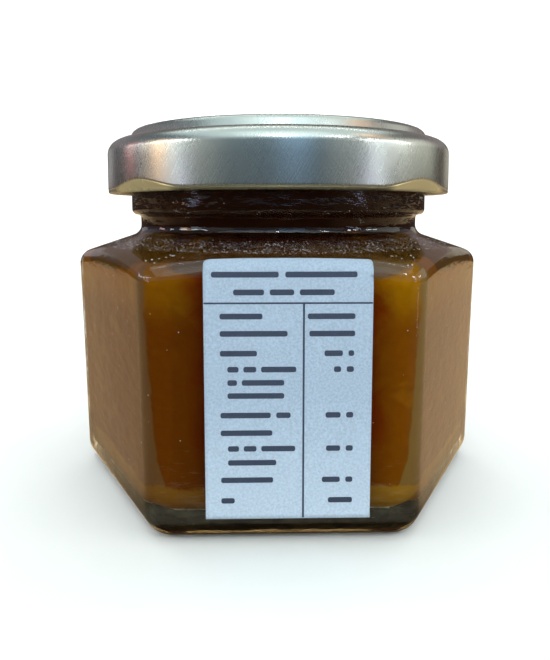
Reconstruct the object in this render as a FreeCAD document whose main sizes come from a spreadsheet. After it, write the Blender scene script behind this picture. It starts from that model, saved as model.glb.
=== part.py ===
"""Apricot jam in a small six-sided glass jar, shut with a twist-off lid.

Four pieces: the glass jar, the jam that fills it, the steel lid and the paper label on the front face.
Millimetres, +Z up. The origin is the middle of the foot, on the surface the jar stands on.
The labelled face looks along -Y.
"""
import FreeCAD, Part
import os
import re

import Sketcher
from FreeCAD import Vector

SIDES = 6          # faces round the body
LUGS = 4           # lugs on the lid, and thread ramps on the glass above them

# Driving dimensions: alias, value, what it is. Lengths in millimetres, angles in degrees.
SIZES = [
    ("finish_diameter", 48.8, "outside of the glass ring that the lid screws on to"),
    ("finish_length", 10.65, "from the foot of that ring to the rim"),
    ("finish_round", 1.0, "rounding of the ring's lower corner"),
    ("rim_round", 0.8, "rounding of the rim's corners"),
    ("neck_recess", 1.4, "how far the neck lies inside the ring, on radius"),
    ("neck_length", 2.85, "from the shoulder to the ring"),
    ("neck_round", 1.8, "fillet between shoulder and neck"),
    ("neck_wall", 2.2, "glass thickness in the neck"),
    ("shoulder_width", 7.0, "from the neck out to the middle of a face"),
    ("shoulder_height", 39.4, "from the table to the shoulder's top, at the neck"),
    ("shoulder_slope", 18.4, "fall of the shoulder from the neck outwards"),
    ("shoulder_round", 2.5, "rounding between shoulder and faces"),
    ("draft", 1.2, "lean of the faces, wider at the top"),
    ("edge_round", 4.5, "rounding of the six upright edges"),
    ("heel_round", 3.5, "rounding round the foot"),
    ("wall", 2.4, "glass thickness in the body"),
    ("base_thickness", 3.4, "glass thickness under the jam"),
    ("inner_edge_round", 3.4, "rounding of the cavity's upright edges"),
    ("inner_shoulder_round", 2.2, "rounding under the shoulder"),
    ("inner_heel_round", 3.0, "rounding round the cavity's floor"),
    ("foot_land", 3.5, "width of the ring that the jar stands on"),
    ("foot_hollow", 0.7, "rise of the hollow under the base"),
    ("hollow_slope", 3.5, "width of the slope from that ring up into the hollow"),
    ("ramp_depth", 1.75, "how far the thread ramps stand out from the ring"),
    ("ramp_thickness", 1.4, "height of a thread ramp"),
    ("ramp_sweep", 44.0, "angle that one thread ramp covers"),
    ("headspace", 3.5, "from the top of the jam to the rim"),
    ("lid_clearance", 0.25, "from the thread ramps to the lid's rolled edge"),
    ("lid_wall", 0.35, "thickness of the lid's sheet"),
    ("lid_depth", 7.35, "from the rim down to the lid's lower edge"),
    ("lid_seat", 0.95, "sheet and sealing ring over the rim"),
    ("lid_round", 2.2, "rounding of the lid's shoulder"),
    ("lid_turn", 45.0, "turn of the first lug from +X"),
    ("curl_size", 1.6, "width and height of the rolled lower edge"),
    ("crest_inset", 2.9, "from the lid's side to the groove round its top"),
    ("groove_width", 0.5, "width of that groove"),
    ("groove_depth", 0.25, "depth of that groove"),
    ("panel_rise", 1.65, "how far the middle of the lid stands above the groove's lip"),
    ("panel_round", 0.9, "rounding of the raised middle's edge"),
    ("facet_height", 2.2, "height of the flat pressed into the skirt at a lug"),
    ("lug_width", 9.0, "width of a lug along the rolled edge"),
    ("lug_height", 1.2, "height of a lug"),
    ("lug_clearance", 0.5, "from a lug to the glass ring"),
    ("ramp_clearance", 0.2, "from a lug up to its thread ramp"),
    ("label_width", 21.0, "width of the label"),
    ("label_foot", 3.6, "from the table to the label's lower edge"),
    ("label_gap", 0.0, "from the label's upper edge to the shoulder line"),
    ("label_shift", 0.6, "how far the label sits to the right of the face's middle"),
    ("label_thickness", 0.12, "thickness of the label"),
    ("label_corner", 0.8, "rounding of the label's two upper corners"),
]

# Sizes that follow from the driving ones: alias and the sheet's own formula.
DERIVED = [
    ("neck_radius", "=finish_diameter / 2 - neck_recess"),
    ("bore_radius", "=neck_radius - neck_wall"),
    ("face_distance", "=neck_radius + shoulder_width"),
    ("shoulder_line", "=shoulder_height - shoulder_width * tan(shoulder_slope * 1deg)"),
    ("ring_foot", "=shoulder_height + neck_length"),
    ("rim_height", "=ring_foot + finish_length"),
    ("jam_level", "=rim_height - headspace"),
    ("lid_radius", "=finish_diameter / 2 + ramp_depth + lid_clearance + curl_size"),
    ("lid_foot", "=rim_height - lid_depth"),
    # The rolled edge takes both its roundings beside a flat, so they follow its size.
    ("curl_round", "=curl_size * 7 / 16"),
    ("facet_depth", "=curl_size * 9 / 16"),
]


def make_sheet(doc):
    """The spreadsheet: label, value and note in each row, the value's cell aliased."""
    sheet = doc.addObject("Spreadsheet::Sheet", "Sizes")
    rows = [(alias, str(value), note) for alias, value, note in SIZES]
    rows += [(alias, formula, "derived") for alias, formula in DERIVED]
    for row, (alias, content, note) in enumerate(rows, start=1):
        sheet.set(f"A{row}", alias)
        sheet.set(f"B{row}", content)
        sheet.set(f"C{row}", note)
        sheet.setAlias(f"B{row}", alias)
    doc.recompute()
    return sheet


def origin_plane(body, role):
    """One of a body's own origin planes."""
    return next(item for item in body.Origin.OriginFeatures if item.Role == role)


def new_body(doc, name):
    body = doc.addObject("PartDesign::Body", name)
    body.Label = name
    return body


def new_sketch(body, name, role):
    """An empty sketch on one of the body's own planes."""
    sketch = body.newObject("Sketcher::SketchObject", name)
    sketch.AttachmentSupport = [(origin_plane(body, role), "")]
    sketch.MapMode = "FlatFace"
    return sketch


def sized(formula):
    """A formula written with bare aliases, as an expression that reads the sheet."""
    aliases = {row[0] for row in SIZES + DERIVED}
    return re.sub("[a-z_]+", lambda word: f"Sizes.{word[0]}" if word[0] in aliases else word[0], formula)


def read(doc, formula):
    """The present value of a formula as a plain number."""
    value = doc.Sizes.evalExpression(sized(formula))
    return float(getattr(value, "Value", value))


def bind(item, prop, formula):
    """Drive a property by a formula from the sheet."""
    item.setExpression(prop, sized(formula))


def draw_outline(sketch, corners):
    """A closed outline through the corners, each placed by two formulas from the sheet."""
    points = [Vector(read(sketch.Document, x), read(sketch.Document, y), 0) for x, y in corners]
    for index, point in enumerate(points):
        sketch.addGeometry(Part.LineSegment(point, points[(index + 1) % len(points)]), False)
    for index, (x, y) in enumerate(corners):
        previous = (index - 1) % len(corners)
        sketch.addConstraint(Sketcher.Constraint("Coincident", previous, 2, index, 1))
        for kind, formula, value in (("DistanceX", x, points[index].x), ("DistanceY", y, points[index].y)):
            if formula == "0":
                axis = -2 if kind == "DistanceX" else -1
                sketch.addConstraint(Sketcher.Constraint("PointOnObject", index, 1, axis))
            else:
                number = sketch.addConstraint(Sketcher.Constraint(kind, -1, 1, index, 1, value))
                sketch.setExpression(f"Constraints[{number}]", sized(formula))


def spin(body, kind, name, sketch, angle=None):
    """A Revolution or Groove of the sketch about the body's Z axis."""
    feature = body.newObject(kind, name)
    feature.Profile = sketch
    feature.ReferenceAxis = (origin_plane(body, "Z_Axis"), [""])
    feature.Angle = 360
    if angle:
        feature.Midplane = True
        bind(feature, "Angle", angle)
    return feature


def round_edges(body, name, radius, wanted):
    """Fillet the edges of the body's present shape for which wanted(edge) is true."""
    body.Document.recompute()
    base = body.Tip
    edges = [f"Edge{number}" for number, edge in enumerate(base.Shape.Edges, start=1) if wanted(edge)]
    fillet = body.newObject("PartDesign::Fillet", name)
    fillet.Base = (base, edges)
    bind(fillet, "Radius", radius)
    return fillet


def repeat(body, name, feature, count):
    """The feature repeated round the body's Z axis."""
    pattern = body.newObject("PartDesign::PolarPattern", name)
    pattern.Originals = [feature]
    pattern.Axis = (origin_plane(body, "Z_Axis"), [""])
    pattern.Angle = 360
    pattern.Occurrences = count
    body.Tip = pattern
    return pattern


def radius_of(point):
    """Distance from the Z axis."""
    return Vector(point.x, point.y, 0).Length


def is_ring(edge, radius, height, near=0.01):
    """True for a level circle of this radius at this height."""
    curve = edge.Curve
    return (isinstance(curve, Part.Circle) and abs(curve.Radius - radius) < near
            and abs(curve.Center.z - height) < near and edge.BoundBox.ZLength < near)


def six_sided(doc, name, growth, floor, throat, rounds):
    """A six-sided solid with a sloping shoulder, parallel to the jar's outside at the distance growth.

    growth, floor, throat: formulas for that distance, the height of its floor and the radius where its
    shoulder starts. rounds: formulas for the upright edges, the shoulder and the heel.
    """
    body = new_body(doc, name)
    slope, draft = "shoulder_slope * 1deg", "draft * 1deg"
    top = f"(shoulder_height + (neck_radius - {throat}) * tan({slope}) + ({growth}) / cos({slope}))"
    distance = f"(face_distance - (shoulder_height - {floor}) * tan({draft}) + ({growth}) / cos({draft}))"

    plan = new_sketch(body, name + "_plan", "XY_Plane")
    bind(plan, "AttachmentOffset.Base.z", f"({floor}) * 1mm")
    # A face looks along -Y, so the corners lie at whole multiples of a sixth turn from +X.
    reach = f"{distance} / cos(180deg / {SIDES})"
    draw_outline(plan, [(f"{reach} * cos({360 / SIDES * corner}deg)", f"{reach} * sin({360 / SIDES * corner}deg)")
                        for corner in range(SIDES)])
    pad = body.newObject("PartDesign::Pad", name + "_faces")
    pad.Profile = plan
    bind(pad, "Length", f"({top} - {floor}) * 1mm")
    bind(pad, "TaperAngle", "draft * 1deg")

    doc.recompute()
    middle = body.Shape.BoundBox.Center.z
    round_edges(body, name + "_edges", rounds[0], lambda edge: edge.BoundBox.ZLength > middle / 2)

    side = new_sketch(body, name + "_slope", "XZ_Plane")
    reach = "(neck_radius + shoulder_width)"
    draw_outline(side, [(throat, top), (f"{throat} + {reach}", top),
                        (f"{throat} + {reach}", f"{top} - {reach} * tan({slope})")])
    spin(body, "PartDesign::Groove", name + "_shoulder", side)

    inside, base = read(doc, throat), read(doc, floor)
    round_edges(body, name + "_shoulder_round", rounds[1],
                lambda edge: edge.BoundBox.ZMin > middle and edge.BoundBox.ZLength < middle / 2
                and min(radius_of(vertex.Point) for vertex in edge.Vertexes) > inside + 0.1)
    round_edges(body, name + "_heel", rounds[2], lambda edge: edge.BoundBox.ZMax < base + 0.01)
    doc.recompute()
    return body


def make_outside(doc):
    """The jar's outside as a full solid: body, neck, ring and thread ramps, hollowed under the foot."""
    body = six_sided(doc, "outside", "0", "0", "neck_radius", ("edge_round", "shoulder_round", "heel_round"))
    neck = new_sketch(body, "neck_side", "XZ_Plane")
    draw_outline(neck, [("0", "base_thickness"), ("neck_radius", "base_thickness"), ("neck_radius", "ring_foot"),
                        ("finish_diameter / 2", "ring_foot"), ("finish_diameter / 2", "rim_height"),
                        ("0", "rim_height")])
    spin(body, "PartDesign::Revolution", "neck", neck)
    round_edges(body, "neck_fillet", "neck_round",
                lambda edge: is_ring(edge, read(doc, "neck_radius"), read(doc, "shoulder_height")))
    round_edges(body, "ring_corner", "finish_round",
                lambda edge: is_ring(edge, read(doc, "finish_diameter / 2"), read(doc, "ring_foot")))

    ramp = new_sketch(body, "ramp_side", "XZ_Plane")
    foot = "(lid_foot + lug_height + ramp_clearance)"
    inner, outer = "(finish_diameter / 2 - finish_round)", "(finish_diameter / 2 + ramp_depth)"
    draw_outline(ramp, [(inner, foot), (outer, foot), (outer, f"{foot} + ramp_thickness / 2"),
                        (inner, f"{foot} + ramp_thickness")])
    feature = spin(body, "PartDesign::Revolution", "ramp", ramp, "ramp_sweep * 1deg")
    repeat(body, "ramps", feature, LUGS)

    hollow = new_sketch(body, "hollow_side", "XZ_Plane")
    edge = "(face_distance - shoulder_height * tan(draft * 1deg) - heel_round - foot_land)"
    draw_outline(hollow, [("0", "0 - foot_hollow"), (edge, "0 - foot_hollow"), (edge, "0"),
                          (f"{edge} - hollow_slope", "foot_hollow"), ("0", "foot_hollow")])
    spin(body, "PartDesign::Groove", "foot_hollow", hollow)
    doc.recompute()
    return body


def make_cavity(doc):
    """The inside of the jar, from its floor up through the rim."""
    body = six_sided(doc, "cavity", "0 - wall", "base_thickness", "bore_radius",
                     ("inner_edge_round", "inner_shoulder_round", "inner_heel_round"))
    bore = new_sketch(body, "bore_side", "XZ_Plane")
    draw_outline(bore, [("0", "shoulder_height / 2"), ("bore_radius", "shoulder_height / 2"),
                        ("bore_radius", "rim_height + rim_round"), ("0", "rim_height + rim_round")])
    spin(body, "PartDesign::Revolution", "bore", bore)
    doc.recompute()
    return body


def combine(doc, kind, name, base, tool):
    """A Part boolean of two objects."""
    result = doc.addObject(kind, name)
    result.Base, result.Tool = base, tool
    result.Label = name
    return result


def round_part_edges(doc, name, base, radius, wanted):
    """A Part fillet of the edges of base for which wanted(edge) is true."""
    size = read(doc, radius)
    fillet = doc.addObject("Part::Fillet", name)
    fillet.Base = base
    fillet.Edges = [(number, size, size) for number, edge in enumerate(base.Shape.Edges, start=1) if wanted(edge)]
    fillet.Label = name
    return fillet


def make_glass(doc, outside, cavity):
    """The glass: the outside less the cavity, its rim rounded."""
    hollow = combine(doc, "Part::Cut", "hollow_glass", outside, cavity)
    doc.recompute()
    rim = read(doc, "rim_height")
    return round_part_edges(doc, "glass_jar", hollow, "rim_round", lambda edge: edge.BoundBox.ZMin > rim - 0.01)


def make_jam(doc, cavity):
    """The jam: the cavity up to the level of the fill."""
    fill = doc.addObject("Part::Cylinder", "fill")
    bind(fill, "Radius", "(face_distance * 2) * 1mm")
    bind(fill, "Height", "jam_level * 1mm")
    jam = doc.addObject("Part::MultiCommon", "jam")
    jam.Shapes = [cavity, fill]
    jam.Label = "jam"
    return jam


def make_lid(doc):
    """The twist-off lid: one sheet with a rolled edge, four pressed lugs and a raised middle."""
    body = new_body(doc, "lid")
    seat, crest = "lid_depth", "(lid_depth + lid_seat)"
    panel = f"({crest} + panel_rise)"
    lip = "(lid_radius - crest_inset)"
    inner_wall, curl = "(lid_radius - lid_wall)", "(lid_radius - curl_size)"
    panel_side = f"({lip} - groove_width - panel_round / 2)"
    seat_inside = "(bore_radius - lid_clearance)"
    side = new_sketch(body, "lid_side", "XZ_Plane")
    draw_outline(side, [
        (curl, "0"), ("lid_radius", "0"), ("lid_radius", crest), (lip, crest),
        (f"{lip} - groove_width / 2", f"{crest} - groove_depth"), (f"{lip} - groove_width", crest),
        (panel_side, panel), ("0", panel), ("0", f"{panel} - lid_wall"),
        (f"{seat_inside} - lid_wall", f"{panel} - lid_wall"), (seat_inside, seat),
        (f"{inner_wall} - lid_round / 2", seat), (inner_wall, f"{seat} - lid_round / 2"),
        (inner_wall, "curl_size + lid_wall"), (curl, "curl_size")])
    spin(body, "PartDesign::Revolution", "lid_sheet", side)
    round_edges(body, "curl_edge", "curl_round", lambda edge: edge.BoundBox.ZMax < 0.01)

    facet = new_sketch(body, "facet_side", "XZ_Plane")
    draw_outline(facet, [("lid_radius - facet_depth", "0"), ("lid_radius + facet_depth", "0"),
                         ("lid_radius + facet_depth", "2 * facet_height")])
    pocket = body.newObject("PartDesign::Pocket", "facet")
    pocket.Profile = facet
    pocket.Type = 1
    pocket.Midplane = True
    repeat(body, "facets", pocket, LUGS)

    lug = new_sketch(body, "lug_plan", "XY_Plane")
    inner, outer = "(finish_diameter / 2 + lug_clearance)", "(lid_radius - curl_size / 2 - facet_depth)"
    draw_outline(lug, [(inner, "0 - lug_width / 2"), (outer, "0 - lug_width / 2"), (outer, "lug_width / 2"),
                       (inner, "lug_width / 2")])
    pad = body.newObject("PartDesign::Pad", "lug")
    pad.Profile = lug
    bind(pad, "Length", "lug_height * 1mm")
    repeat(body, "lugs", pad, LUGS)

    round_edges(body, "lid_shoulder", "lid_round",
                lambda edge: is_ring(edge, read(doc, "lid_radius"), read(doc, crest)))
    round_edges(body, "panel_edge", "panel_round", lambda edge: edge.BoundBox.ZMin > read(doc, panel) - 0.01)
    bind(body, "Placement.Base.z", "lid_foot * 1mm")
    bind(body, "Placement.Rotation.Angle", "lid_turn * 1deg")
    doc.recompute()
    return body


def make_label(doc, outside):
    """The label: a sheet that follows the front face and laps a little over the shoulder's rounding."""
    skin = six_sided(doc, "label_skin", "label_thickness", "0", "neck_radius",
                     ("edge_round + label_thickness", "shoulder_round + label_thickness",
                      "heel_round + label_thickness"))
    block = doc.addObject("Part::Box", "label_block")
    bind(block, "Length", "label_width * 1mm")
    bind(block, "Width", "face_distance * 1mm")
    bind(block, "Height", "(shoulder_line - label_gap - label_foot) * 1mm")
    bind(block, "Placement.Base.x", "(label_shift - label_width / 2) * 1mm")
    bind(block, "Placement.Base.y", "(0 - face_distance - label_thickness * 2) * 1mm")
    bind(block, "Placement.Base.z", "label_foot * 1mm")
    doc.recompute()
    top = block.Shape.BoundBox.ZMax
    corners = round_part_edges(doc, "label_corners", block, "label_corner",
                               lambda edge: edge.BoundBox.ZMin > top - 0.01 and edge.BoundBox.XLength < 0.01)
    sheet = doc.addObject("Part::MultiCommon", "label_sheet")
    sheet.Shapes = [skin, corners]
    return combine(doc, "Part::Cut", "label", sheet, outside)


def check(doc, pieces):
    """Stop if any object failed, a cut took nothing away, or a piece isn't one valid solid."""
    doc.recompute()
    for item in doc.Objects:
        if "Invalid" in item.State or "Error" in item.State:
            raise RuntimeError(f"{item.Name} failed: {item.State}")
        if item.TypeId in ("PartDesign::Pocket", "PartDesign::Groove"):
            if item.Shape.Volume > item.BaseFeature.Shape.Volume - 0.1:
                raise RuntimeError(f"{item.Name} cuts nothing away")
    for piece in pieces:
        if piece.Shape.isNull() or not piece.Shape.isValid():
            raise RuntimeError(f"{piece.Label} has no valid shape")
        if len(piece.Shape.Solids) != 1:
            raise RuntimeError(f"{piece.Label} has {len(piece.Shape.Solids)} solids")


def main():
    doc = FreeCAD.newDocument("apricot_jam_jar")
    make_sheet(doc)
    outside = make_outside(doc)
    cavity = make_cavity(doc)
    pieces = [make_glass(doc, outside, cavity), make_jam(doc, cavity), make_lid(doc), make_label(doc, outside)]
    check(doc, pieces)
    os.makedirs("parts", exist_ok=True)
    for piece in pieces:
        piece.Shape.exportStep(f"parts/{piece.Label}.step")
        box = piece.Shape.optimalBoundingBox()
        print(f"{piece.Label}: {piece.Shape.Volume / 1000:.2f} cm3, {box.XLength:.2f} x {box.YLength:.2f} x "
              f"{box.ZLength:.2f} mm, z {box.ZMin:.2f} to {box.ZMax:.2f}")


main()
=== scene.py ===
import math
import random
from collections import namedtuple

import bmesh
import bpy
from bpy.props import FloatProperty, FloatVectorProperty, IntProperty, PointerProperty
from bpy.types import Operator, Panel, PropertyGroup
from mathutils import Matrix, Vector, noise
from mathutils.bvhtree import BVHTree


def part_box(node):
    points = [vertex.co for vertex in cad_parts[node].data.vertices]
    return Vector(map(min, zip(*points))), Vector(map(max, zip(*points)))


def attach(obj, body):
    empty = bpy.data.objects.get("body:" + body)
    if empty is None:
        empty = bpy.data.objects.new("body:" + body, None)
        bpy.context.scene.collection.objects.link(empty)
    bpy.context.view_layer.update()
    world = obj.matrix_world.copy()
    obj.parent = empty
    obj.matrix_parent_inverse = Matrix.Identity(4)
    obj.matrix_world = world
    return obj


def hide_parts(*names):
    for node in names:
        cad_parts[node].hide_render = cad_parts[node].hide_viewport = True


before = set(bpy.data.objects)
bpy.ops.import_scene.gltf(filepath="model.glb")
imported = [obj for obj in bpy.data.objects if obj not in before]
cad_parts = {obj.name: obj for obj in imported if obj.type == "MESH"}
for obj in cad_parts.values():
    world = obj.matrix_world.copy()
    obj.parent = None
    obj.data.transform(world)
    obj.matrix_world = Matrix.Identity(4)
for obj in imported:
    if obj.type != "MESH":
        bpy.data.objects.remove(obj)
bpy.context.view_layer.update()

bl_info = {
    "name": "Jar of Apricot Jam",
    "version": (1, 0, 0),
    "blender": (4, 5, 0),
    "location": "3D View > Sidebar > Jam Jar",
    "description": "Builds a small six-sided glass jar of apricot jam with a twist-off lid and a paper label",
    "category": "Add Mesh",
}

JAR_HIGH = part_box("glass_jar")[1]
JAM_LOW, JAM_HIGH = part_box("jam")
LID_LOW, LID_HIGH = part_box("lid")
LABEL_LOW, LABEL_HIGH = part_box("label")

MM = 0.001
SIDES = 6            # faces round the body
LUGS = 4             # lugs pressed into the lid
FLAT_STEPS = 20      # mesh columns across one flat face
EDGE_STEPS = 10      # mesh columns round one upright edge
COLUMNS = SIDES * (FLAT_STEPS + EDGE_STEPS)
ARC_STEPS = 8        # mesh rows round a skin's heel, and round its shoulder
WALL_STEPS = 13      # mesh rows up a skin's wall, between the two
LONG_WAVE, SHOULDER_WAVE, NECK_WAVE, JAM_WAVE = 0.013, 0.005, 0.0045, 0.004     # in metres


# ---------------------------------------------------------------- settings

def found(name, description, metres):
    """A length setting whose default comes from the frame."""
    return FloatProperty(name=name, description=description, default=metres,
                         unit="LENGTH", subtype="DISTANCE", precision=5)


def length(name, description, millimetres):
    """A length setting whose default is given in millimetres."""
    return found(name, description, millimetres * MM)


def turn(name, description, degrees):
    """An angle setting whose default is given in degrees."""
    return FloatProperty(name=name, description=description, default=math.radians(degrees),
                         unit="ROTATION", subtype="ANGLE")


def share(name, description, default):
    """A plain number from 0 to 1."""
    return FloatProperty(name=name, description=description, default=default, min=0, max=1, subtype="FACTOR")


def count(name, description, default):
    """A number of things."""
    return IntProperty(name=name, description=description, default=default, min=0)


def colour(name, description, red, green, blue):
    """A colour in linear light."""
    return FloatVectorProperty(name=name, description=description, default=(red, green, blue),
                               size=3, min=0, max=1, subtype="COLOR")


class GlassSettings(PropertyGroup):
    """Sizes and finish of the glass jar."""
    face: length("Face distance", "From the axis to a face, at the shoulder's height", 30.0)
    shoulder_height: length("Shoulder height", "From the table to the top of the shoulder, at the neck", 39.4)
    slope: turn("Shoulder slope", "Fall of the shoulder from the neck outwards", 18.4)
    draft: turn("Draft", "Lean of the faces, wider at the top", 1.2)
    edge: length("Edge rounding", "Rounding of the six upright edges", 4.5)
    shoulder: length("Shoulder rounding", "Rounding between shoulder and faces", 2.5)
    heel: length("Heel rounding", "Rounding round the foot", 3.5)
    neck: length("Neck radius", "Outside of the neck under the ring", 23.0)
    neck_round: length("Neck fillet", "Fillet between shoulder and neck", 1.8)
    ring: length("Ring radius", "Outside of the glass ring that the lid screws on to", 24.4)
    ring_foot: length("Ring foot", "Height of the ring's lower edge", 42.25)
    bore: length("Bore radius", "Inside of the neck", 20.8)
    wall: length("Wall", "Glass thickness in the body", 2.4)
    base: found("Base thickness", "Glass thickness under the jam", JAM_LOW.z)
    rim: found("Rim height", "Height of the jar's rim", JAR_HIGH.z)
    inner_edge: length("Inner edge rounding", "Rounding of the cavity's upright edges", 3.4)
    inner_shoulder: length("Inner shoulder rounding", "Rounding under the shoulder", 1.5)
    inner_heel: length("Inner heel rounding", "Rounding round the cavity's floor", 3.0)
    land: length("Foot ring", "Width of the ring that the jar stands on", 3.5)
    hollow: length("Foot hollow", "Rise of the hollow under the base", 0.7)
    ripple: length("Ripple", "Depth of the faint waves in the pressed glass", 0.05)
    tint: colour("Tint", "Colour of the glass", 0.955, 0.985, 0.965)
    # Painted shade and painted reflection: the foot and heel colours stand in for the jam reflected in the
    # thick glass and the shaded table seen through it.
    foot_shade: colour("Foot tint", "Colour that the jam lends to the glass of the foot", 0.23, 0.135, 0.045)
    heel_shade: colour("Heel tint", "Colour that it lends to the heel at the upright edges", 0.40, 0.26, 0.12)
    dust: count("Dust", "Specks of dust on the shoulder", 2200)
    # Painted glints: the larger beads on the shoulder's corners.
    corner_beads: count("Corner beads", "Larger specks on each corner of the shoulder", 9)
    face_specks: count("Face specks", "Specks on the upright faces", 120)


class JamSettings(PropertyGroup):
    """Fill and colours of the jam."""
    level: found("Level", "Height of the jam", JAM_HIGH.z)
    reach: length("Reach", "How far the jam runs into the glass, so that no air shows between them", 0.10)
    amber: colour("Amber", "Colour of the jam in the middle of a face", 0.135, 0.0265, 0.0004)
    gold: colour("Gold", "Colour of the jam where light reaches it from the side", 0.143, 0.035, 0.0005)
    # Painted shade: the label's shadow on the jam.
    dark: colour("Dark", "Colour of the jam behind the label", 0.124, 0.0125, 0.0004)
    # Painted reflection: the paler band where the jam's rounding under the shoulder reflects light.
    band: colour("Band", "Colour of the jam where it rounds over under the shoulder", 0.115, 0.047, 0.013)
    shade: colour("Shade", "Colour of the jam under the shoulder", 0.048, 0.010, 0.004)
    # Painted shade: the lid's shadow on the jam in the neck.
    neck: colour("Neck", "Colour of the jam in the neck", 0.024, 0.005, 0.001)
    # Painted light: the light from the table on the jam's rounded foot.
    low: colour("Foot", "Colour of the jam's rounded foot", 0.220, 0.090, 0.010)
    # Painted light: the gold where light reaches the jam under the shoulder's corners.
    rim: colour("Shoulder corners", "Colour of the jam under the shoulder's corners", 0.135, 0.056, 0.004)
    # Painted reflection: light streaks in the thick glass base over the jam's underside.
    underside: colour("Underside", "Colour of the jam's underside, seen through the foot", 0.80, 0.76, 0.58)
    # Painted reflection: the rounded glass edges beside the label reflecting the surroundings.
    edge: colour("Edge", "Colour of the jam in the upright edges beside the label", 0.146, 0.066, 0.020)
    pulp: colour("Pulp", "Colour of the pieces of fruit", 0.340, 0.140, 0.010)
    ripple: length("Ripple", "Depth of the jam's own unevenness", 0.04)
    bubbles: count("Bubbles", "Air bubbles against the glass", 34)


class LidSettings(PropertyGroup):
    """Sizes and finish of the twist-off lid."""
    radius: found("Radius", "Outside of the lid", LID_HIGH.x)
    foot: found("Foot", "Height of the lid's lower edge", LID_LOW.z)
    top: found("Top", "Height of the lid's raised middle", LID_HIGH.z)
    sheet: length("Sheet", "Thickness of the steel", 0.35)
    spin: count("Spin steps", "Mesh columns round the lid", 216)
    lug_zone: length("Lug zone", "Height over the lower edge up to which a lug bends the side", 4.6)
    crest: length("Crest", "From the lower edge up to the crest round the top", 8.3)
    inset: length("Crest inset", "From the lid's side to the groove round its top", 2.9)
    shoulder: length("Shoulder rounding", "Rounding of the lid's upper edge", 2.2)
    facet: length("Facet", "How far the lower edge is pressed in at a lug", 0.9)
    arch: length("Arch", "How far the crease arches up over a lug", 1.15)
    lug_turn: turn("Lug width", "From a lug's middle to the end of its arch, round the lid", 18.0)
    metal: colour("Metal", "Colour of the lacquered steel", 0.57, 0.57, 0.515)
    gold: colour("Gold lacquer", "Colour of the lacquer that shows at the rolled edge", 0.46, 0.39, 0.215)
    roughness: share("Roughness", "Roughness of the lacquered steel", 0.26)


class LabelSettings(PropertyGroup):
    """Sizes and colours of the paper label."""
    left: found("Left edge", "The label's left edge on the front face", LABEL_LOW.x)
    right: found("Right edge", "The label's right edge on the front face", LABEL_HIGH.x)
    foot: found("Foot", "Height of the label's lower edge", LABEL_LOW.z)
    tall: length("Height", "Height of the paper, measured along the glass", 33.6)
    thickness: length("Thickness", "Thickness of the paper", 0.09)
    corner: length("Corner", "Rounding of the upper corners", 0.8)
    paper: colour("Paper", "Colour of the paper", 0.50, 0.60, 0.72)
    ink: colour("Ink", "Colour of the print", 0.030, 0.042, 0.080)


class StageSettings(PropertyGroup):
    """Floor, light and camera."""
    floor: colour("Floor", "Colour of the floor and its sweep", 0.86, 0.85, 0.83)
    radius: length("Sweep radius", "Radius of the level floor", 520.0)
    bend: length("Sweep bend", "Rounding between the floor and the background", 250.0)
    rise: length("Sweep height", "Height of the background", 900.0)
    front_sky: colour("Upper front light", "Light from above the horizon in front", 0.155, 0.235, 0.31)
    front_steep: colour("Steep front light", "Light from the floor close in front", 0.46, 0.46, 0.36)
    front_ground: colour("Lower front light", "Light from below the horizon in front", 0.045, 0.032, 0.022)
    back_ground: colour("Lower back light", "Light from below the horizon behind", 0.77, 0.56, 0.32)
    back_steep: colour("Steep back light", "Light from far below the horizon behind", 0.10, 0.062, 0.032)
    back_low: colour("Low back light", "Light from just above the horizon behind", 0.065, 0.044, 0.034)
    back_middle: colour("Middle back light", "Light from a little higher behind", 0.30, 0.25, 0.26)
    back_high: colour("Upper back light", "Light from high up behind", 0.12, 0.085, 0.06)
    camera_distance: length("Camera distance", "Level distance from the jar's axis to the camera", 102.12)
    camera_height: length("Camera height", "Height of the camera over the table", 42.97)
    camera_turn: turn("Camera turn", "How far the camera stands round to the left of the front face", 1.249)
    camera_pitch: turn("Camera pitch", "How far the camera looks down", 4.985)
    camera_lens: FloatProperty(name="Lens", description="Focal length in millimetres", default=32.31)


class JarSettings(PropertyGroup):
    """Everything that can be changed about the jar."""
    glass: PointerProperty(type=GlassSettings)
    jam: PointerProperty(type=JamSettings)
    lid: PointerProperty(type=LidSettings)
    label: PointerProperty(type=LabelSettings)
    stage: PointerProperty(type=StageSettings)


# ---------------------------------------------------------------- drawing helpers

def level(bearing):
    """Level direction at a bearing from +X."""
    return Vector((math.cos(bearing), math.sin(bearing)))


def raised(point, height):
    """A flat point raised to a height."""
    return Vector((*point, height))


def stand(across, path):
    """A flat path stood up in space along a level direction."""
    return [raised(across * point.x, point.y) for point in path]


def fillet(before, corner, after, radius, steps):
    """Points round a corner of a flat path, from the arc's start to its end."""
    to_before, to_after = (before - corner).normalized(), (after - corner).normalized()
    half = to_before.angle(to_after) / 2
    reach = radius / math.tan(half)
    centre = corner + (to_before + to_after).normalized() * radius / math.sin(half)
    start, end = corner + to_before * reach - centre, corner + to_after * reach - centre
    start, end = start.normalized(), end.normalized()
    return [centre + start.slerp(end, step / steps) * radius for step in range(steps + 1)]


def rounded_path(corners):
    """A flat path through (across, up, rounding, steps) corners, each rounded by its own radius."""
    places = [Vector(corner[:2]) for corner in corners]
    points = [places[0]]
    for number in range(1, len(corners) - 1):
        rounding, steps = corners[number][2:]
        if rounding:
            points += fillet(places[number - 1], places[number], places[number + 1], rounding, steps)
        else:
            points.append(places[number])
    return points + [places[-1]]


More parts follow.
